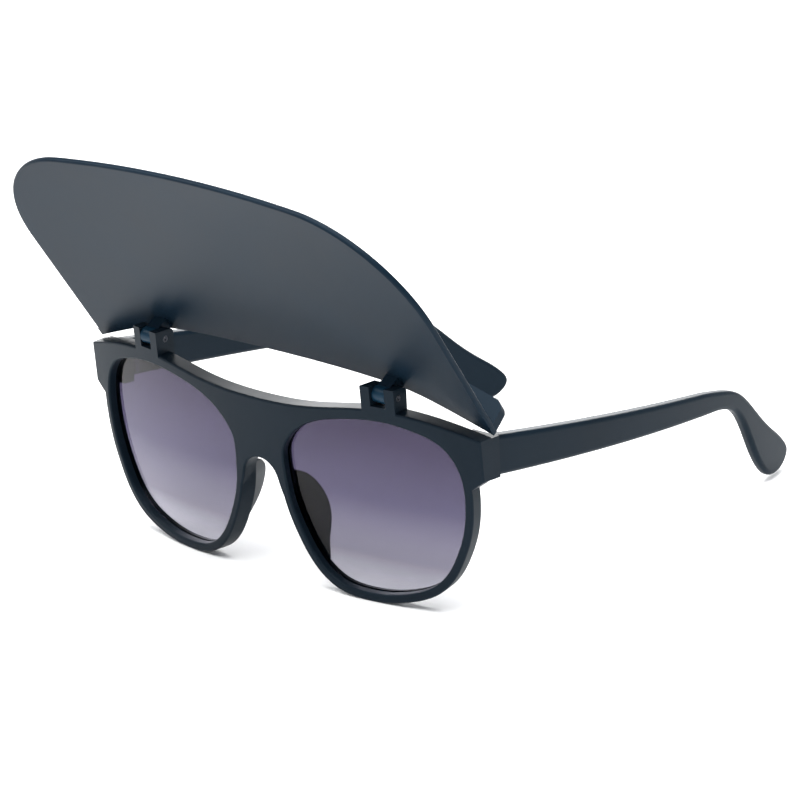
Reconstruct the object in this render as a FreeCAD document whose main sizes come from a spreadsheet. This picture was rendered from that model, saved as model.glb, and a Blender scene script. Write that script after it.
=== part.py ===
import FreeCAD, Part
import math
import os
from FreeCAD import Placement, Rotation, Vector

# Sun visor glasses: a curved front with two lenses, two folding arms and a brim hinged on the brow.
# +X is the wearer's left, -Y is forward and +Z is up. The floor is z = 0.

doc = FreeCAD.newDocument("visor_glasses")
sheet = doc.addObject("Spreadsheet::Sheet", "sizes")

# Driving dimensions in millimetres, angles in degrees
SIZES = [
    ("front_width", 146.0), ("front_setback", 54.36), ("face_radius", 270.0), ("back_radius", 280.0),
    ("bridge_depth", 4.6), ("front_lean", 4.25), ("edge_round", 0.6), ("wrap_angle", 11.5),
    ("brow_dip_height", 52.3), ("brow_peak_height", 55.75), ("end_top_height", 50.7),
    ("end_bottom_height", 39.5), ("seam_depth", 6.8), ("end_block_depth", 3.6),
    ("end_block_width", 9.0), ("opening_width", 57.5), ("opening_height", 49.8),
    ("opening_centre_x", 38.15), ("opening_centre_z", 27.74), ("rim_width", 2.4),
    ("notch_height", 34.9), ("lens_radius", 270.0), ("lens_inset", 2.4), ("lens_thick", 1.2),
    ("lens_tuck", 0.8), ("lens_clearance", 0.05),
    ("pad_length", 27.0), ("pad_depth", 7.1), ("pad_thick", 2.2), ("pad_low", 4.5),
    ("pad_round", 0.5), ("pad_splay", 15.0),
    ("ear_offset", 43.6), ("ear_span", 10.5), ("ear_slot", 4.65), ("ear_cap", 2.4), ("ear_rear", 1.85),
    ("ear_round", 1.2), ("slot_depth", 2.9), ("axis_forward", 4.95), ("axis_rise", 3.4),
    ("pin_radius", 0.9), ("pin_clearance", 0.03), ("tongue_side_gap", 0.12), ("tongue_radius", 2.3),
    ("post_depth", 3.4),
    ("visor_angle", 56.45), ("horn_half", 73.8), ("side_flare", 1.2), ("horn_back", 11.3),
    ("rear_edge_back", 1.75), ("side_forward", 29.2), ("corner_radius", 33.5),
    ("crown_bulge", 1.7), ("visor_arch", 2.9), ("visor_rise", 6.2), ("visor_thick", 1.7),
    ("lip_height", 7.7), ("lip_thick", 2.6), ("lip_lean", 11.0), ("lip_round", 2.5), ("visor_round", 0.6),
    ("temple_inset", 0.6), ("temple_thick", 4.5), ("temple_gap", 0.2), ("temple_bow", 413.0),
    ("temple_flare", 2.3), ("temple_length", 137.4), ("temple_root_top", 50.5),
    ("temple_root_bottom", 39.5), ("temple_tip_thick", 3.2), ("temple_round", 1.3),
    ("hinge_inset", 7.0), ("hinge_back", 8.6), ("hinge_mid_height", 44.9), ("knuckle_radius", 1.5),
    ("knuckle_height", 2.6), ("knuckle_gap", 0.1), ("screw_radius", 0.6), ("screw_head_radius", 1.1),
    ("screw_head_height", 0.6), ("leaf_thick", 0.9), ("leaf_length", 11.0), ("root_depth", 1.2),
    ("root_width", 3.2), ("seat_clearance", 0.02), ("rivet_radius", 0.6), ("rivet_depth", 1.6),
    ("rivet_head_radius", 1.0), ("rivet_head_height", 0.3), ("neck_width", 1.8), ("touch", 0.005),
    ("overrun", 40.0),
]
for row, (alias, value) in enumerate(SIZES, 1):
    sheet.set("A%d" % row, alias)
    sheet.set("B%d" % row, str(value))
    sheet.setAlias("B%d" % row, alias)
doc.recompute()


def mm(alias):
    return float(sheet.get(alias))


X_AXIS = Vector(1, 0, 0)
Y_AXIS = Vector(0, 1, 0)
Z_AXIS = Vector(0, 0, 1)
ORIGIN = Vector(0, 0, 0)
SET_BACK = Vector(0, -mm("front_setback"), 0)
over = mm("overrun")
axis_height = mm("brow_peak_height") + mm("axis_rise")
ear_top = axis_height + mm("ear_cap")
hinge_x = mm("front_width") / 2 - mm("hinge_inset")


# Curve and solid helpers shared by the moulded pieces
def spline(points, closed=False):
    curve = Part.BSplineCurve()
    curve.interpolate(points, PeriodicFlag=closed)
    return curve.toShape()


def spline_between(points, before, after):
    # Curve that leaves the line from before and runs into the line to after without a kink
    curve = Part.BSplineCurve()
    curve.interpolate(points, InitialTangent=points[0] - before, FinalTangent=after - points[-1])
    return curve.toShape()


def lines(points):
    return [Part.makeLine(a, b) for a, b in zip(points, points[1:])]


def flat_face(edges):
    return Part.Face(Part.Wire(edges))


def mirrored(shape):
    return shape.mirror(ORIGIN, X_AXIS)


def upright_drum(radius, nose_y):
    # Upright cylinder whose foremost line is at nose_y
    low = Vector(0, nose_y + radius, -over)
    return Part.makeCylinder(radius, ear_top + over + over, low, Z_AXIS)


def solid_of(shape):
    return max(shape.Solids, key=lambda body: body.Volume)


def add_piece(label, shape, placement=None):
    piece = doc.addObject("Part::Feature", label)
    piece.Label = label
    piece.Shape = shape
    base = placement if placement else Placement(SET_BACK, Rotation())
    piece.Placement = base.multiply(shape.Placement)
    return piece


# Front: rims, bridge, end pieces and visor ears moulded in one
half = mm("front_width") / 2
face_radius = mm("face_radius")
apex = math.sqrt(face_radius ** 2 - half ** 2) - face_radius
reach = half + over

OPENING_SHARES = [
    (-0.965, 0.51), (-0.854, 0.671), (-0.635, 0.835), (-0.353, 0.932), (0.009, 0.99), (0.308, 0.985),
    (0.56, 0.93), (0.79, 0.825), (0.927, 0.647), (0.986, 0.454), (0.995, 0.15), (0.951, -0.149),
    (0.871, -0.39), (0.743, -0.643), (0.593, -0.803), (0.36, -0.92), (0.064, -0.99), (-0.21, -0.998),
    (-0.42, -0.96), (-0.6, -0.845), (-0.739, -0.667), (-0.833, -0.482), (-0.91, -0.289), (-0.969, -0.068),
    (-0.997, 0.21),
]
wrap = math.radians(mm("wrap_angle"))
wrap_way = Vector(-math.sin(wrap), math.cos(wrap), 0)


def opening_wire(grow):
    # Opening's outline, or one that runs a set distance outside it, set back along the lens axis
    points = []
    for across_share, up_share in OPENING_SHARES:
        across = mm("opening_centre_x") + across_share * mm("opening_width") / 2
        up = mm("opening_centre_z") + up_share * mm("opening_height") / 2
        points.append(Vector(across, -over, up))
    edge = spline(points, closed=True)
    outer = []
    for point in points:
        along = edge.tangentAt(edge.Curve.parameter(point))
        moved = point + Vector(-along.z, 0, along.x) * grow
        face_y = apex + face_radius - math.sqrt(face_radius ** 2 - moved.x ** 2)
        outer.append(moved + X_AXIS * math.tan(wrap) * (over + face_y))
    return Part.Wire([spline(outer, closed=True)])


def opening_prism(grow):
    return Part.Face(opening_wire(grow)).extrude(wrap_way * reach)


def at(x, z):
    return Vector(x, -over, z)


BROW_SHARES = [(1.0, 0.0), (0.845, 0.6), (0.70, 0.93), (0.58, 1.0)]
DIP_SHARES = [(0.43, 0.72), (0.26, 0.24), (0.0, 0.0)]
end_top = mm("end_top_height")
peak = mm("brow_peak_height")
dip = mm("brow_dip_height")
brow = [at(s * half, end_top + up * (peak - end_top)) for s, up in BROW_SHARES]
brow += [at(s * half, dip + up * (peak - dip)) for s, up in DIP_SHARES]
brow += [at(-point.x, point.z) for point in reversed(brow[:-1])]
rim_x = mm("opening_centre_x") + mm("opening_width") / 2 + mm("rim_width") / 2
UNDER_SHARES = (1 / 6, 1 / 3)
rim_z, mid_z = [mm("opening_centre_z") + share * mm("opening_height")
                for share in UNDER_SHARES]
under = [at(-half, end_top), at(-half, mm("end_bottom_height")), at(-rim_x, rim_z),
         at(-mm("opening_centre_x"), mid_z), at(mm("opening_centre_x"), mid_z), at(rim_x, rim_z),
         at(half, mm("end_bottom_height")), at(half, end_top)]
brow_prism = flat_face([spline(brow)] + lines(under)).extrude(Y_AXIS * reach)

NOTCH_SHARES = [
    (0.0, 1.0), (0.058, 0.99), (0.11, 0.957), (0.15, 0.9), (0.18, 0.8), (0.218, 0.7), (0.286, 0.527),
    (0.346, 0.39), (0.43, 0.25), (0.6, 0.15),
]
notch = [at(s * mm("opening_centre_x"), up * mm("notch_height")) for s, up in NOTCH_SHARES]
notch = [at(-point.x, point.z) for point in reversed(notch[1:])] + notch
wing_top = mid_z + mm("rim_width")
wing = [notch[-1]]
wing += [at(mm("opening_centre_x"), mm("opening_centre_z")), at(mm("opening_centre_x"), wing_top)]
wing += [at(-point.x, point.z) for point in reversed(wing)]
wing_prism = flat_face([spline(notch)] + lines(wing)).extrude(Y_AXIS * reach)

disc = opening_prism(mm("rim_width"))
opening = opening_prism(0)
silhouette = brow_prism.fuse([wing_prism, disc, mirrored(disc)]).removeSplitter()
slab = upright_drum(face_radius, apex).cut(upright_drum(mm("back_radius"), apex + mm("bridge_depth")))
shell = solid_of(silhouette.common(slab).cut([opening, mirrored(opening)]))


SPOT_SHARES = (0.2, 0.5, 0.8)


def on_drum(edge, radius, nose_y):
    # True for an edge that lies on the curved face of an upright drum
    centre = Vector(0, nose_y + radius, 0)
    first, last = edge.ParameterRange
    spots = [edge.valueAt(first + (last - first) * share) for share in SPOT_SHARES]
    return all(abs(Vector(p.x, p.y, 0).sub(centre).Length - radius) < mm("touch") for p in spots)


front_edges = [edge for edge in shell.Edges if on_drum(edge, face_radius, apex)]
shell = shell.makeFillet(mm("edge_round"), front_edges)

lens_nose = apex + mm("lens_inset")
lens_slab = upright_drum(mm("lens_radius"), lens_nose)
lens_slab = lens_slab.cut(upright_drum(mm("lens_radius"), lens_nose + mm("lens_thick")))
lens = solid_of(opening_prism(mm("lens_tuck")).common(lens_slab))
groove_slab = upright_drum(mm("lens_radius"), lens_nose - mm("lens_clearance"))
groove_slab = groove_slab.cut(upright_drum(
    mm("lens_radius"), lens_nose + mm("lens_thick") + mm("lens_clearance")))
groove = opening_prism(mm("lens_tuck") + mm("lens_clearance")).common(groove_slab)
shell = solid_of(shell.cut([groove, mirrored(groove)]))


def leaned(shape):
    # Lean the front's top forward about the hinge height
    turned = shape.copy()
    turned.rotate(Vector(0, 0, mm("hinge_mid_height")), X_AXIS, mm("front_lean"))
    return turned


shell = leaned(shell)
lens = leaned(lens)

# Flat block behind each end piece for the arm hinge
seam = mm("seam_depth")
block_start = Vector(half - mm("end_block_width"), seam - mm("end_block_depth"), mm("end_bottom_height"))
block_height = end_top - mm("end_bottom_height")
block = Part.makeBox(mm("end_block_width"), mm("end_block_depth"), block_height, block_start)
block = block.cut(lens)
behind = Part.makeBox(reach * 2, reach, reach * 2, Vector(-reach, seam, -reach))

# Clevis ears for the visor, flush with the front's face
ear_low = peak - mm("rim_width")
ear = Part.makeBox(mm("ear_span"), over - mm("ear_rear"), ear_top - ear_low,
                   Vector(mm("ear_offset") - mm("ear_span") / 2, -over, ear_low))
ear = ear.common(leaned(upright_drum(face_radius, apex)))
ear = ear.makeFillet(mm("ear_round"), [
    edge for edge in ear.Edges
    if abs(edge.CenterOfMass.z - ear_top) < mm("lens_clearance")
    and abs(edge.CenterOfMass.y + mm("ear_rear")) < mm("lens_clearance")])
slot = Part.makeBox(mm("ear_slot"), over + over, over, Vector(
    mm("ear_offset") - mm("ear_slot") / 2, -over, axis_height - mm("slot_depth")))
axis_point = Vector(0, -mm("axis_forward"), axis_height)


def pin_bore(clearance):
    start = Vector(mm("ear_offset") - mm("ear_span"), axis_point.y, axis_point.z)
    return Part.makeCylinder(mm("pin_radius") + clearance, mm("ear_span") * 2, start, X_AXIS)


ear = ear.cut(slot).cut(pin_bore(mm("seat_clearance")))
root_height = mm("knuckle_height") * 3 + mm("knuckle_gap") * 2
root_slot = Part.makeBox(
    mm("root_width") + mm("seat_clearance") * 2, over, root_height + mm("seat_clearance") * 2,
    Vector(hinge_x - mm("root_width") / 2 - mm("seat_clearance"),
           seam - mm("root_depth") - mm("seat_clearance"),
           mm("hinge_mid_height") - root_height / 2 - mm("seat_clearance")))
front = shell.fuse([block, mirrored(block), ear, mirrored(ear)])
front = front.cut([behind, slot, mirrored(slot), root_slot, mirrored(root_slot)])
front = solid_of(front.removeSplitter())
add_piece("front_frame", front)
add_piece("lens_left", lens)
add_piece("lens_right", mirrored(lens))

# Nose pads: fins behind the nose side of each rim, a side view and a splayed front view intersected
PAD_SHARES = [
    (0.008, 0.998), (0.61, 0.922), (0.84, 0.84), (0.98, 0.726), (1.0, 0.6), (0.88, 0.478), (0.7, 0.389),
    (0.43, 0.278), (0.2, 0.17), (0.008, 0.11),
]
pad_rest = apex + mm("bridge_depth")
pad_curve = [Vector(0, pad_rest + back * mm("pad_depth"), mm("pad_low") + up * mm("pad_length"))
             for back, up in PAD_SHARES]
pad_side = flat_face([spline(pad_curve), Part.makeLine(pad_curve[-1], pad_curve[0])]).extrude(X_AXIS * half)
splay = math.tan(math.radians(mm("pad_splay")))
strip_shift = X_AXIS * -splay * (over + pad_rest)
nose_line = [point + strip_shift for point in notch if point.x >= 0]
outer_line = [point + X_AXIS * mm("pad_thick") for point in nose_line]
strip = flat_face([spline(nose_line), Part.makeLine(nose_line[-1], outer_line[-1]), spline(outer_line),
                   Part.makeLine(outer_line[0], nose_line[0])])
pad = solid_of(strip.extrude(Vector(splay, 1, 0) * reach).common(pad_side))
pad = pad.makeFillet(mm("pad_round"), [
    edge for edge in pad.Edges
    if edge.Length > mm("pad_length") / 2 and edge.BoundBox.YMax > pad_rest + mm("pad_depth") / 2])
pad = solid_of(leaned(pad).cut(front))
add_piece("nose_pad_left", pad)
add_piece("nose_pad_right", mirrored(pad))

# Visor brim, drawn level about its hinge axis: local -Y is forward and +Z is the outer side
arch_radius = (mm("horn_half") ** 2 + mm("visor_arch") ** 2) / (2 * mm("visor_arch"))


def brim_layer(low, high):
    # Part of an arched sheet between two heights over the brim's inner face
    start = Vector(0, over, mm("visor_rise") - arch_radius)
    run = mm("side_forward") + mm("corner_radius") + over * 2
    outer_tube = Part.makeCylinder(arch_radius + high, run, start, -Y_AXIS)
    return outer_tube.cut(Part.makeCylinder(arch_radius + low, run, start, -Y_AXIS))


def flipped(point):
    return Vector(-point.x, point.y, point.z)


def arc(first, centre, last):
    # Short arc about centre from first to last
    radius = (first - centre).Length
    middle = ((first - centre) + (last - centre)).normalize() * radius
    return Part.Arc(first, centre + middle, last).toShape()


REAR_SHARES = [(1.0, 0.0), (0.82, 0.5), (0.655, 0.86), (0.49, 0.97), (0.0, 1.0)]
rear_span = mm("horn_back") - mm("rear_edge_back")
rear = [Vector(s * mm("horn_half"), mm("horn_back") - up * rear_span, 0) for s, up in REAR_SHARES]
rear = [flipped(point) for point in rear[:-1]] + list(reversed(rear))
horn = rear[-1]
side_end = Vector(mm("horn_half") + mm("side_flare"), -mm("side_forward"), 0)
side_way = (side_end - horn).normalize()
corner_radius = mm("corner_radius")
corner_centre = side_end + Vector(side_way.y, -side_way.x, 0) * corner_radius
crown_rise = corner_radius + mm("crown_bulge")
crown = Vector(0, corner_centre.y - crown_rise, 0)
crown_radius = (corner_centre.x ** 2 + crown_rise ** 2 - corner_radius ** 2) / mm("crown_bulge") / 2
crown_centre = crown + Y_AXIS * crown_radius
corner_end = crown_centre + (corner_centre - crown_centre).normalize() * crown_radius
outline = [
    spline(rear), Part.makeLine(horn, side_end), arc(side_end, corner_centre, corner_end),
    Part.Arc(corner_end, crown, flipped(corner_end)).toShape(),
    arc(flipped(corner_end), flipped(corner_centre), flipped(side_end)),
    Part.makeLine(flipped(side_end), flipped(horn)),
]
brim = solid_of(flat_face(outline).extrude(Z_AXIS * over).common(brim_layer(0, mm("visor_thick"))))
free_edges = [edge for edge in brim.Edges if edge.Length > mm("visor_thick") * 2
              and edge.CenterOfMass.y < mm("rear_edge_back") - mm("lip_thick")]
brim = brim.makeFillet(mm("visor_round"), free_edges)

# Upturned lip along the brim's rear edge
lip_lean = math.radians(mm("lip_lean"))
lip_way = Vector(0, -math.sin(lip_lean), math.cos(lip_lean))
lip_step = Y_AXIS * -mm("lip_thick")
horn_rise = mm("visor_rise") - mm("visor_arch")
lip_edges = [spline(rear), Part.makeLine(horn, horn + lip_step),
             spline([point + lip_step for point in rear]), Part.makeLine(rear[0] + lip_step, rear[0])]
lip_face = flat_face(Part.__sortEdges__(lip_edges))
lip_face.translate(Z_AXIS * horn_rise - lip_way * mm("lip_thick"))
lip = solid_of(lip_face.extrude(lip_way * over).common(brim_layer(0, mm("lip_height"))))
lip_corners = [edge for edge in lip.Edges if edge.BoundBox.YLength < mm("lip_thick") * 2
               and edge.BoundBox.ZLength < mm("lip_thick")
               and edge.CenterOfMass.z > horn_rise + mm("lip_height") / 2]
lip = lip.makeFillet(mm("lip_round"), lip_corners)
brim = solid_of(brim.fuse(lip).removeSplitter())

tongue_width = mm("ear_slot") - mm("tongue_side_gap") * 2
tongue_start = Vector(mm("ear_offset") - tongue_width / 2, 0, 0)
tongue = Part.makeCylinder(mm("tongue_radius"), tongue_width, tongue_start, X_AXIS)
post_start = tongue_start - Y_AXIS * mm("post_depth") / 2
tongue_post = Part.makeBox(tongue_width, mm("post_depth"), mm("visor_rise"), post_start)
bore_start = tongue_start - X_AXIS * mm("ear_slot")
tongue_bore = Part.makeCylinder(mm("pin_radius") + mm("pin_clearance"), mm("ear_span"), bore_start, X_AXIS)
tongue_trim = brim_layer(-over, mm("visor_thick") / 2)
tongue = tongue.fuse(tongue_post.common(tongue_trim)).cut(tongue_bore)
brim = solid_of(brim.fuse([tongue, mirrored(tongue)]).removeSplitter())
visor_turn = Rotation(X_AXIS, -mm("visor_angle"))
add_piece("visor_brim", brim, Placement(SET_BACK + axis_point, visor_turn))

# Arms: a side view and a plan view drawn separately and intersected
root_y = seam + mm("temple_gap")
length = mm("temple_length")
tall = mm("temple_root_top")
UPPER_SHARES = [
    (0.642, 0.733), (0.69, 0.707), (0.745, 0.67), (0.79, 0.62), (0.83, 0.538), (0.886, 0.397),
    (0.936, 0.288), (0.985, 0.183), (1.0, 0.116), (0.985, 0.057), (0.95, 0.025), (0.915, 0.036),
]
LOWER_SHARES = [
    (0.881, 0.105), (0.841, 0.258), (0.79, 0.478), (0.766, 0.535), (0.729, 0.575), (0.642, 0.607),
]
tip = [Vector(0, root_y + s * length, up * tall) for s, up in UPPER_SHARES + LOWER_SHARES]
root_top = Vector(0, root_y, tall)
root_bottom = Vector(0, root_y, mm("temple_root_bottom"))
side = flat_face([Part.makeLine(root_top, tip[0]), spline_between(tip, root_top, root_bottom)]
                 + lines([tip[-1], root_bottom, root_top]))
arm = side.extrude(X_AXIS * (half + over))
outer_x = half - mm("temple_inset")
flare = math.radians(mm("temple_flare"))


def bow_edge(offset, radius):
    # Edge of the bowed plan, from the seam to past the arm's end
    centre = Vector(outer_x - offset - radius * math.cos(flare), root_y + radius * math.sin(flare), 0)
    sweep = (length + over) / radius
    turns = [-flare, sweep / 2 - flare, sweep - flare]
    spots = [centre + Vector(math.cos(turn), math.sin(turn), 0) * radius for turn in turns]
    return Part.Arc(*spots).toShape()


thinning = mm("temple_thick") - mm("temple_tip_thick")
outer_bow = bow_edge(0, mm("temple_bow"))
inner_bow = bow_edge(mm("temple_thick"), 1 / (1 / mm("temple_bow") - 2 * thinning / length ** 2))
bow_ends = [edge.valueAt(end) for edge in (outer_bow, inner_bow) for end in edge.ParameterRange]
plan = Part.__sortEdges__([outer_bow, inner_bow, Part.makeLine(bow_ends[0], bow_ends[2]),
                           Part.makeLine(bow_ends[1], bow_ends[3])])
arm = solid_of(arm.common(flat_face(plan).extrude(Z_AXIS * (tall + over))))
end_y = root_y + mm("temple_gap")
arm_edges = [edge for edge in arm.Edges if edge.BoundBox.YMax > end_y
             and edge.BoundBox.YLength > mm("temple_thick")]
arm = arm.makeFillet(mm("temple_round"), arm_edges)

inner_turn = -mm("temple_flare")
inner_x = outer_x - mm("temple_thick") + math.tan(flare) * (mm("hinge_back") - root_y) - hinge_x
inner_offset = inner_x * math.cos(flare)
hinge_spot = Vector(hinge_x, mm("hinge_back"), mm("hinge_mid_height"))
RIVET_SHARES = (0.45, 0.8)


def rivet_at(share, radius, depth, start):
    place = Vector(inner_offset + start, share * mm("leaf_length"), 0)
    return Part.makeCylinder(radius, depth, place, X_AXIS)


def arm_placed(shape):
    # From the hinge axis, along the arm's inner face, to the front's frame
    moved = shape.copy()
    moved.Placement = Placement(hinge_spot, Rotation(Z_AXIS, inner_turn))
    return moved


hole_radius = mm("rivet_radius") + mm("seat_clearance")
arm_cuts = [arm_placed(rivet_at(share, hole_radius, mm("rivet_depth"), 0)) for share in RIVET_SHARES]
leaf_half = mm("knuckle_height") / 2 + mm("seat_clearance")
leaf_seat = Part.makeBox(over, mm("leaf_length") + mm("seat_clearance"), leaf_half * 2,
                         Vector(inner_offset - over, 0, -leaf_half))
arm_cuts.append(arm_placed(leaf_seat))
arm = solid_of(arm.cut(arm_cuts))
add_piece("temple_left", arm)
add_piece("temple_right", mirrored(arm))


# Arm hinges: two front knuckles on an embedded root, one arm knuckle on a riveted leaf, a screw through all
def knuckle(index, bore_clearance):
    pitch = mm("knuckle_height") + mm("knuckle_gap")
    low = Vector(0, 0, pitch * index - mm("knuckle_height") / 2)
    outer = Part.makeCylinder(mm("knuckle_radius"), mm("knuckle_height"), low, Z_AXIS)
    return outer, Part.makeCylinder(mm("screw_radius") + bore_clearance, mm("knuckle_height"), low, Z_AXIS)


root_back = seam - mm("hinge_back")
root = Part.makeBox(mm("root_width"), mm("root_depth"), root_height, Vector(
    -mm("root_width") / 2, root_back - mm("root_depth"), -root_height / 2))
front_leaf = root
front_bores = []
for index in (-1, 1):
    outer, bore = knuckle(index, mm("seat_clearance"))
    neck = Part.makeBox(mm("neck_width"), -root_back, mm("knuckle_height"), Vector(
        -mm("neck_width") / 2, root_back, bore.BoundBox.ZMin))
    front_leaf = front_leaf.fuse([outer, neck])
    front_bores.append(bore)
front_leaf = solid_of(front_leaf.cut(front_bores).removeSplitter())
front_leaf.translate(hinge_spot)
add_piece("front_hinge_leaf_left", front_leaf)
add_piece("front_hinge_leaf_right", mirrored(front_leaf))

outer, bore = knuckle(0, mm("pin_clearance"))
leaf = Part.makeBox(mm("leaf_thick"), mm("leaf_length"), mm("knuckle_height"), Vector(
    inner_offset - mm("leaf_thick") - mm("seat_clearance"), 0, -mm("knuckle_height") / 2))
leaf_holes = [rivet_at(share, hole_radius, over, -over / 2) for share in RIVET_SHARES]
arm_leaf = arm_placed(solid_of(outer.fuse(leaf).cut([bore] + leaf_holes).removeSplitter()))
add_piece("arm_hinge_leaf_left", arm_leaf)
add_piece("arm_hinge_leaf_right", mirrored(arm_leaf))

head_start = -mm("leaf_thick") - mm("seat_clearance") * 2 - mm("rivet_head_height")
rivet_length = mm("rivet_depth") - head_start - mm("seat_clearance")
rivets = []
for share in RIVET_SHARES:
    head = rivet_at(share, mm("rivet_head_radius"), mm("rivet_head_height"), head_start)
    shank = rivet_at(share, mm("rivet_radius"), rivet_length, head_start)
    rivets.append(arm_placed(head.fuse(shank).removeSplitter()))
rivet_pair = Part.makeCompound(rivets)
add_piece("arm_leaf_rivets_left", rivet_pair)
add_piece("arm_leaf_rivets_right", mirrored(rivet_pair))

# Parametric hardware: hinge screws and visor pins, bound to the sheet
shank_length = "sizes.knuckle_height * 3 + sizes.knuckle_gap * 2"


def bound(kind, name, values):
    item = doc.addObject(kind, name)
    for key, expression in values.items():
        item.setExpression(key, expression)
    return item


for hand, sign in (("left", ""), ("right", "-")):
    place = {
        "Placement.Base.x": sign + "(sizes.front_width / 2 - sizes.hinge_inset)",
        "Placement.Base.y": "sizes.hinge_back - sizes.front_setback",
    }
    shank = bound("Part::Cylinder", "screw_shank_" + hand, dict(place, **{
        "Radius": "sizes.screw_radius", "Height": shank_length,
        "Placement.Base.z": "sizes.hinge_mid_height - (" + shank_length + ") / 2"}))
    head = bound("Part::Cylinder", "screw_head_" + hand, dict(place, **{
        "Radius": "sizes.screw_head_radius", "Height": "sizes.screw_head_height",
        "Placement.Base.z": "sizes.hinge_mid_height + (" + shank_length + ") / 2 + sizes.seat_clearance"}))
    neck = bound("Part::Cylinder", "screw_neck_" + hand, dict(place, **{
        "Radius": "sizes.screw_radius", "Height": "sizes.screw_head_height",
        "Placement.Base.z": "sizes.hinge_mid_height + (" + shank_length + ") / 2"}))
    screw = doc.addObject("Part::MultiFuse", "temple_hinge_screw_" + hand)
    screw.Shapes = [shank, neck, head]
    screw.Refine = True
    screw.Label = "temple_hinge_screw_" + hand

    pin = bound("Part::Cylinder", "visor_hinge_pin_" + hand, {
        "Radius": "sizes.pin_radius", "Height": "sizes.ear_span",
        "Placement.Base.x": sign + "sizes.ear_offset - sizes.ear_span / 2",
        "Placement.Base.y": "-sizes.axis_forward - sizes.front_setback",
        "Placement.Base.z": "sizes.brow_peak_height + sizes.axis_rise"})
    pin.Placement.Rotation = Rotation(Z_AXIS, X_AXIS)
    pin.Label = "visor_hinge_pin_" + hand
doc.recompute()

# Check every piece, then write one file per piece
PIECES = ["front_frame", "visor_brim"]
for stem in ("lens", "nose_pad", "visor_hinge_pin", "temple", "front_hinge_leaf", "arm_hinge_leaf",
             "temple_hinge_screw", "arm_leaf_rivets"):
    PIECES += [stem + "_left", stem + "_right"]
os.makedirs("parts", exist_ok=True)
for item in doc.Objects:
    if "Invalid" in item.State or "Error" in item.State:
        raise RuntimeError("object not built: " + item.Name)
for label in PIECES:
    shape = doc.getObjectsByLabel(label)[0].Shape
    if shape.isNull() or not shape.isValid() or shape.Volume <= 0:
        raise RuntimeError("bad shape: " + label)
    shape.exportStep("parts/" + label + ".step")
    print(label, len(shape.Solids), round(shape.Volume, 2))
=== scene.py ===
import math

import bpy
from mathutils import Matrix, Vector


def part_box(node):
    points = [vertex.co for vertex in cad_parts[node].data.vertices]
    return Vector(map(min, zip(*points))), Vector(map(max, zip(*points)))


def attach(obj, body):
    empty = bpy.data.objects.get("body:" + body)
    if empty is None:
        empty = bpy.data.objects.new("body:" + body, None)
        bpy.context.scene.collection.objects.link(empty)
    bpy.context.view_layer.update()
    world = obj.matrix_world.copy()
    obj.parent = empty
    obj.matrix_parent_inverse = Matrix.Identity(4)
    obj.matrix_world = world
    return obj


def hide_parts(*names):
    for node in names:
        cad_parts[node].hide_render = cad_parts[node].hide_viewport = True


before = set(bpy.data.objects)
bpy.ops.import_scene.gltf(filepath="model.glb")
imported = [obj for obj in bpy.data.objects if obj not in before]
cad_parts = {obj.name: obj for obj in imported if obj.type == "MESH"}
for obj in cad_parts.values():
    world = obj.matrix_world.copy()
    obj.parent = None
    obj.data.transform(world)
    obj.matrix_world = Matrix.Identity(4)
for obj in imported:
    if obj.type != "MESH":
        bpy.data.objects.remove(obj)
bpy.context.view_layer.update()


# Front: rims, bridge, end pieces and the two clevis ears, moulded in one shot of nylon.
# The tool is finely blasted, which leaves an even matt skin with a soft wide highlight.
# It carries the lenses, the visor pins and the arm hinges.
MM = 0.001


def colour(hex_value):
    channels = [int(hex_value[i:i + 2], 16) / 255 for i in (0, 2, 4)]
    return (*[c / 12.92 if c <= 0.04045 else ((c + 0.055) / 1.055) ** 2.4 for c in channels], 1.0)


def material(name):
    made = bpy.data.materials.new(name)
    made.use_nodes = True
    made.node_tree.nodes.clear()
    return made, made.node_tree


def node(tree, kind, links=(), stops=(), **settings):
    """Adds a node with its settings, its links and, on a colour ramp, its stops."""
    added = tree.nodes.new(kind)
    for key, value in settings.items():
        if hasattr(added, key):
            setattr(added, key, value)
        else:
            added.inputs[key.replace("_", " ")].default_value = value
    for socket, source in dict(links).items():
        tree.links.new(source, added.inputs[socket])
    for count, (place, shade) in enumerate(stops):
        band = added.color_ramp.elements
        stop = band[count] if count < len(band) else band.new(place)
        stop.position, stop.color = place, colour(shade)
    return added


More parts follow.
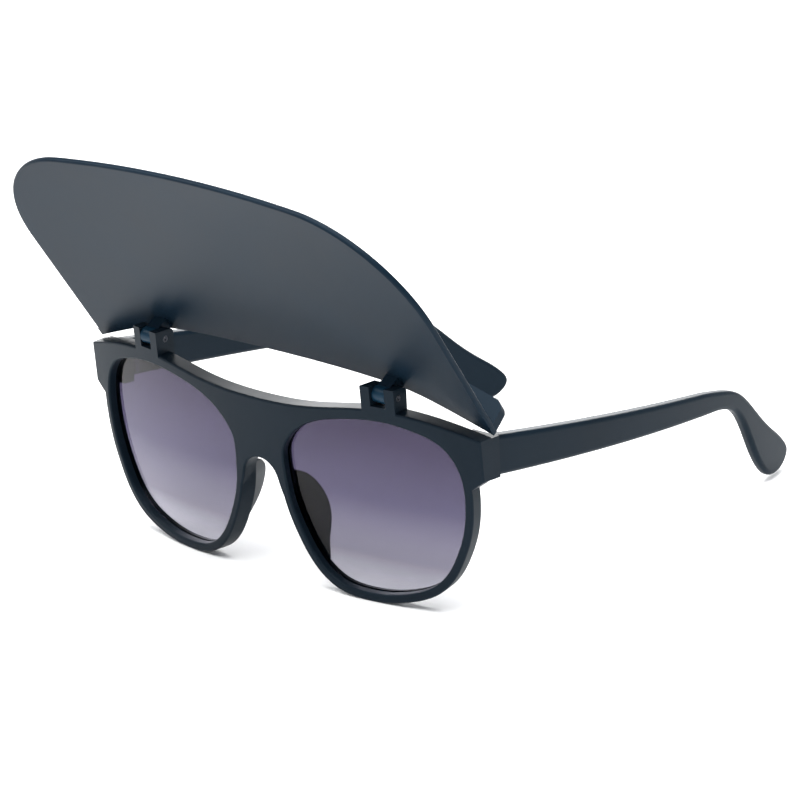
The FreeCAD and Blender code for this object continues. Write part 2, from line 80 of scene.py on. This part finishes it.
def moulded_nylon(name, dark, light, roughness, ior):
    """Nylon from a blasted tool: a matt, slightly cold skin whose tone and gloss drift slowly.

    Blast grain is finer than a pixel here, so it is drawn coarser, at 0.25 mm. Solid nylon has an IOR
    near 1.5, and the weak sheen of the blasted skin is matched by one near 1.2.
    """
    drift_size, gloss_drift = 30 * MM, 0.03
    grain_size, grain_depth, grain_strength = 0.25 * MM, 0.02 * MM, 0.12
    cold_sheen = colour("DCEEFC")
    made, tree = material(name)
    place = node(tree, "ShaderNodeTexCoord").outputs["Object"]
    drift = node(tree, "ShaderNodeTexNoise", {"Vector": place}, Scale=1 / drift_size, Detail=3.0)
    tone = node(tree, "ShaderNodeValToRGB", {"Fac": drift.outputs["Fac"]}, [(0.3, dark), (0.7, light)])
    rough = node(tree, "ShaderNodeMapRange", {"Value": drift.outputs["Fac"]},
                 To_Min=roughness - gloss_drift, To_Max=roughness + gloss_drift)
    grain = node(tree, "ShaderNodeTexNoise", {"Vector": place}, Scale=1 / grain_size, Detail=2.0)
    skin = node(tree, "ShaderNodeBump", {"Height": grain.outputs["Fac"]},
                Strength=grain_strength, Distance=grain_depth)
    body = node(tree, "ShaderNodeBsdfPrincipled", {
        "Base Color": tone.outputs["Color"],
        "Roughness": rough.outputs["Result"],
        "Normal": skin.outputs["Normal"],
    }, IOR=ior, Specular_Tint=cold_sheen)
    node(tree, "ShaderNodeOutputMaterial", {"Surface": body.outputs["BSDF"]})
    return made


def select_only(piece):
    bpy.ops.object.select_all(action="DESELECT")
    piece.select_set(True)
    bpy.context.view_layer.objects.active = piece


def smooth_copy(cad_node, body, name, finish):
    """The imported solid's loose triangles, merged and shaded smooth between its real edges."""
    weld, real_edge = 0.001 * MM, math.radians(28)
    piece = bpy.data.objects.new(name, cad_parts[cad_node].data.copy())
    bpy.context.scene.collection.objects.link(piece)
    select_only(piece)
    bpy.ops.mesh.customdata_custom_splitnormals_clear()
    bpy.ops.object.mode_set(mode="EDIT")
    bpy.ops.mesh.select_all(action="SELECT")
    bpy.ops.mesh.remove_doubles(threshold=weld)
    bpy.ops.object.mode_set(mode="OBJECT")
    bpy.ops.object.shade_smooth_by_angle(angle=real_edge)
    piece.data.materials.clear()
    piece.data.materials.append(finish)
    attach(piece, body)
    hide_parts(cad_node)
    return piece


def even_normals(piece):
    """Keeps wide faces flat up to their rounded edges, so that each edge shows as a crisp line."""
    select_only(piece)
    evened = piece.modifiers.new("even_normals", "WEIGHTED_NORMAL")
    evened.keep_sharp = True
    bpy.ops.object.modifier_apply(modifier=evened.name)


# Blasted slate nylon: near black with a cold cast, and dull enough to hide fingerprints.
front_nylon = moulded_nylon("blasted_slate_nylon", "0D161E", "0F1A23", roughness=0.4, ior=1.2)
front = smooth_copy("front_frame", "front", "front_moulding", front_nylon)
even_normals(front)


# Lenses: cast polymer sheet, dip tinted so that the dye is deep at the brow and pale at the cheek.
# Each one is sprung into the closed groove of its rim.
def tinted_polymer():
    """Polished polymer: clear, with faint sharp reflections, and a violet dye that fades downwards.

    The photograph shows hardly any reflection in it, so its IOR is matched at 1.25, below the polymer's
    own 1.5.
    """
    pale_height, deep_height = 3 * MM, 55 * MM
    cloud_size, cloud_share = 40 * MM, 0.03
    made, tree = material("dip_tinted_polymer")
    place = node(tree, "ShaderNodeTexCoord").outputs["Object"]
    height = node(tree, "ShaderNodeSeparateXYZ", {"Vector": place}).outputs["Z"]
    dip = node(tree, "ShaderNodeMapRange", {"Value": height}, From_Min=pale_height, From_Max=deep_height)
    cloud = node(tree, "ShaderNodeTexNoise", {"Vector": place}, Scale=1 / cloud_size, Detail=1.0)
    dye = node(tree, "ShaderNodeMath", {0: cloud.outputs["Fac"], 2: dip.outputs["Result"]},
               operation="MULTIPLY_ADD")
    dye.inputs[1].default_value = cloud_share
    tint = node(tree, "ShaderNodeValToRGB", {"Fac": dye.outputs["Value"]}, [
        (0.02, "BDBCC6"), (0.2, "757280"), (0.5, "49455A"), (0.85, "363044"), (1.0, "2F2A3D")])
    body = node(tree, "ShaderNodeBsdfPrincipled", {"Base Color": tint.outputs["Color"]},
                IOR=1.25, Roughness=0.0, Transmission_Weight=1.0)
    node(tree, "ShaderNodeOutputMaterial", {"Surface": body.outputs["BSDF"]})
    return made


lens_polymer = tinted_polymer()
for side in ("left", "right"):
    smooth_copy(f"lens_{side}", "front", f"tinted_lens_{side}", lens_polymer)

# Nose pads: fins in the front's own nylon, moulded round-edged and bonded behind each rim.
# They reach back past the lens and carry the weight on the sides of the nose.
for side in ("left", "right"):
    smooth_copy(f"nose_pad_{side}", "front", f"nose_fin_{side}", front_nylon)


# Visor pins: turned steel, oil blackened, pressed through the ears and flush with their outer faces.
# Each end has a broken edge and a shallow dimple left by the lathe centre.
# One pin is modelled in the left ears and copied to the right ones.
def worked_steel(name, dark, light, roughness, mark_spacing):
    """Steel whose tool marks move both its tone and its gloss."""
    gloss_drift = 0.08
    made, tree = material(name)
    place = node(tree, "ShaderNodeTexCoord").outputs["Object"]
    marks = node(tree, "ShaderNodeTexNoise", {"Vector": place}, Scale=1 / mark_spacing, Detail=3.0)
    tone = node(tree, "ShaderNodeValToRGB", {"Fac": marks.outputs["Fac"]}, [(0.25, dark), (0.75, light)])
    rough = node(tree, "ShaderNodeMapRange", {"Value": marks.outputs["Fac"]},
                 To_Min=roughness - gloss_drift, To_Max=roughness + gloss_drift)
    body = node(tree, "ShaderNodeBsdfPrincipled", {
        "Base Color": tone.outputs["Color"],
        "Roughness": rough.outputs["Result"],
    }, Metallic=1.0)
    node(tree, "ShaderNodeOutputMaterial", {"Surface": body.outputs["BSDF"]})
    return made


def shade_metal(piece):
    real_edge = math.radians(35)
    select_only(piece)
    bpy.ops.object.shade_smooth_by_angle(angle=real_edge)


def break_edges(piece):
    edge_width, edge_turn = 0.1 * MM, math.radians(40)
    select_only(piece)
    broken = piece.modifiers.new("broken_edges", "BEVEL")
    broken.width, broken.segments = edge_width, 2
    broken.limit_method, broken.angle_limit = "ANGLE", edge_turn
    bpy.ops.object.modifier_apply(modifier=broken.name)
    shade_metal(piece)


def turned_pin(low, high):
    radius = (high.z - low.z) / 2
    rim, cone, dimple_depth = 0.45 * radius, 0.2 * radius, 0.25 * radius
    bpy.ops.object.select_all(action="DESELECT")
    bpy.ops.mesh.primitive_cylinder_add(vertices=40, radius=radius, depth=high.x - low.x,
                                        location=(low + high) / 2, rotation=(0, math.pi / 2, 0))
    pin = bpy.context.active_object
    bpy.ops.object.transform_apply(location=True, rotation=True, scale=True)
    bpy.ops.object.mode_set(mode="EDIT")
    bpy.ops.mesh.select_mode(type="FACE")
    bpy.ops.mesh.select_all(action="DESELECT")
    bpy.ops.object.mode_set(mode="OBJECT")
    for face in pin.data.polygons:
        is_end = abs(face.normal.x) > 0.9
        face.select = is_end
    bpy.ops.object.mode_set(mode="EDIT")
    bpy.ops.mesh.inset(thickness=rim)
    bpy.ops.mesh.inset(thickness=cone, depth=-dimple_depth)
    bpy.ops.object.mode_set(mode="OBJECT")
    break_edges(pin)
    return pin


# Oil blackened steel: dark grey with a faint metal gleam.
pin_steel = worked_steel("oil_blackened_steel", "2E3136", "43464C", roughness=0.34, mark_spacing=0.4 * MM)
pin_boxes = {side: [Vector(corner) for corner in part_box(f"visor_hinge_pin_{side}")]
             for side in ("left", "right")}
left_pin = turned_pin(*pin_boxes["left"])
left_pin.data.materials.append(pin_steel)
right_pin = left_pin.copy()
right_pin.data = left_pin.data.copy()
right_pin.data.transform(Matrix.Translation(pin_boxes["right"][0] - pin_boxes["left"][0]))
bpy.context.scene.collection.objects.link(right_pin)
for side, pin in (("left", left_pin), ("right", right_pin)):
    pin.name = pin.data.name = f"visor_pin_{side}"
    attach(pin, "front")
    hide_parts(f"visor_hinge_pin_{side}")

# Visor: one arched brim moulded in the same nylon, with an upturned lip along its rear edge.
# Two tongues under the lip turn on the pins between the ears; their barrels get a glossier nylon whose
# bluer colour is a painted highlight.
# Satin slate nylon: a little smoother than the front, so the brim's broad face carries a long soft sheen.
visor_nylon = moulded_nylon("satin_slate_nylon", "0D1A25", "0F1E2A", roughness=0.38, ior=1.19)
# Blue highlight nylon: the same nylon, a little glossier, with a bluer base colour that is a painted
# highlight on the barrels.
blue_highlight_nylon = moulded_nylon("painted_blue_highlight_nylon", "0C2433", "0F2C3E", roughness=0.34, ior=1.25)
visor = smooth_copy("visor_brim", "visor", "visor_moulding", visor_nylon)
even_normals(visor)
visor.data.materials.append(blue_highlight_nylon)
blue_highlight_index = 1
barrel_radius = 2.5 * MM
# Faces of the tongue barrels, around each pin, take the painted blue highlight.
for low, high in pin_boxes.values():
    axis = (low + high) / 2
    for face in visor.data.polygons:
        away = face.center - axis
        if low.x < face.center.x < high.x and math.hypot(away.y, away.z) < barrel_radius:
            face.material_index = blue_highlight_index

# Arms: moulded nylon, bowed in plan, with a dropped paddle tip behind the ear.
# The hinge leaf lies on the inner face and is held by two rivets.
# Blasted navy nylon: as matt as the front and a touch bluer.
arm_nylon = moulded_nylon("blasted_navy_nylon", "0C1720", "0E1B25", roughness=0.42, ior=1.19)
for side in ("left", "right"):
    arm = smooth_copy(f"temple_{side}", f"{side}_arm", f"arm_moulding_{side}", arm_nylon)
    even_normals(arm)


# Arm hinges: stamped steel leaves with rolled knuckles, a slotted screw through them, and rivets.
# The front leaf's root is moulded into the end piece. All edges are tumbled smooth.
def tumbled_copy(cad_node, body, name, finish):
    flat_within = math.radians(1)
    piece = smooth_copy(cad_node, body, name, finish)
    bpy.ops.object.mode_set(mode="EDIT")
    bpy.ops.mesh.select_all(action="SELECT")
    bpy.ops.mesh.dissolve_limited(angle_limit=flat_within)
    bpy.ops.object.mode_set(mode="OBJECT")
    break_edges(piece)
    return piece


def cut_slot(screw, cad_node):
    slot_width, slot_depth = 0.35 * MM, 0.35 * MM
    low, high = (Vector(corner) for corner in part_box(cad_node))
    bpy.ops.object.select_all(action="DESELECT")
    bpy.ops.mesh.primitive_cube_add(
        size=1, location=((low.x + high.x) / 2, (low.y + high.y) / 2, high.z),
        scale=(2 * (high.x - low.x), slot_width, 2 * slot_depth))
    saw = bpy.context.active_object
    select_only(screw)
    sawn = screw.modifiers.new("sawn_slot", "BOOLEAN")
    sawn.operation, sawn.solver, sawn.object = "DIFFERENCE", "EXACT", saw
    bpy.ops.object.modifier_apply(modifier=sawn.name)
    bpy.data.objects.remove(saw)
    shade_metal(screw)


# Stamped leaf steel: mid grey, with the dull uneven gloss of a tumbling barrel.
leaf_steel = worked_steel("stamped_leaf_steel", "7C7F84", "96999E", roughness=0.38, mark_spacing=0.6 * MM)
# Turned screw steel: paler and brighter, with finer marks.
screw_steel = worked_steel("turned_screw_steel", "8C8F94", "A8ABB0", roughness=0.3, mark_spacing=0.3 * MM)
for side in ("left", "right"):
    arm_body = f"{side}_arm"
    tumbled_copy(f"front_hinge_leaf_{side}", "front", f"front_leaf_{side}", leaf_steel)
    tumbled_copy(f"arm_hinge_leaf_{side}", arm_body, f"arm_leaf_{side}", leaf_steel)
    tumbled_copy(f"arm_leaf_rivets_{side}", arm_body, f"leaf_rivets_{side}", screw_steel)
    screw_node = f"temple_hinge_screw_{side}"
    screw = tumbled_copy(screw_node, "front", f"hinge_screw_{side}", screw_steel)
    cut_slot(screw, screw_node)


# Floor: a seamless sweep of matt white board, which the rims stand on.
# It is wide enough to fill the view from every side.
def white_board():
    """Matt board: no gloss, and a cloudiness of the fibre that is only just there."""
    fibre_size = 60 * MM
    made, tree = material("matt_white_board")
    place = node(tree, "ShaderNodeTexCoord").outputs["Object"]
    fibre = node(tree, "ShaderNodeTexNoise", {"Vector": place}, Scale=1 / fibre_size, Detail=2.0)
    tone = node(tree, "ShaderNodeValToRGB", {"Fac": fibre.outputs["Fac"]},
                [(0.3, "FAFAFA"), (0.7, "FDFDFD")])
    body = node(tree, "ShaderNodeBsdfPrincipled", {"Base Color": tone.outputs["Color"]}, Roughness=0.9)
    node(tree, "ShaderNodeOutputMaterial", {"Surface": body.outputs["BSDF"]})
    return made


bpy.ops.object.select_all(action="DESELECT")
bpy.ops.mesh.primitive_plane_add(size=6, location=(0, 0, 0))
floor = bpy.context.active_object
floor.name = "white_floor"
floor.data.materials.append(white_board())

# Light: a room with pale walls and a dark ceiling, so that top faces shine and rounded edges stay dark.
# A wide soft box hangs overhead, a small one stands at the camera's left, and a pale card far behind.
world = bpy.data.worlds.new("pale_walled_room")
bpy.context.scene.world = world
world.use_nodes = True
room = world.node_tree
outward = node(room, "ShaderNodeTexCoord").outputs["Generated"]
rise = node(room, "ShaderNodeSeparateXYZ", {"Vector": outward}).outputs["Z"]
wall = node(room, "ShaderNodeValToRGB", {"Fac": rise}, [
    (0.0, "E8EBEF"), (0.33, "CDD1D7"), (0.5, "63676C"), (1.0, "3C3F44")])
room.links.new(wall.outputs["Color"], room.nodes["Background"].inputs["Color"])


def soft_box(name, place, aim, width, height, power):
    lamp = bpy.data.lights.new(name, "AREA")
    lamp.shape, lamp.size, lamp.size_y, lamp.energy = "RECTANGLE", width, height, power
    box = bpy.data.objects.new(name, lamp)
    bpy.context.scene.collection.objects.link(box)
    box.location = place
    box.rotation_euler = (Vector(aim) - Vector(place)).to_track_quat("-Z", "Y").to_euler()


soft_box("overhead_box", (0.15, -0.2, 1.2), aim=(0, 0, 0), width=1.4, height=1.4, power=38)
soft_box("left_box", (-0.95, -0.5, 1.05), aim=(0, 0, 0.05), width=0.6, height=0.6, power=8)
soft_box("back_card", (-1.0, 1.0, 0.4), aim=(0, 0, 0.05), width=1.0, height=0.5, power=12)

# Camera: a long lens at the photograph's distance and tilt.
# Its turn is given by the directions of the picture's right, its top and the way back to the eye.
camera = bpy.data.objects.new("photo_camera", bpy.data.cameras.new("photo_camera"))
bpy.context.scene.collection.objects.link(camera)
camera.data.sensor_width = 36
camera.data.lens = 217.555
camera.data.clip_start, camera.data.clip_end = 0.05, 20
right, up = (0.721647, 0.690954, -0.042366), (-0.184647, 0.251269, 0.950077)
back = (0.667184, -0.677771, 0.308910)
eye = (0.881438, -0.904671, 0.444172)
turn = Matrix((right, up, back)).transposed()
camera.matrix_world = Matrix.Translation(eye) @ turn.to_4x4()
bpy.context.scene.camera = camera
bpy.context.scene.view_settings.view_transform = "Standard"
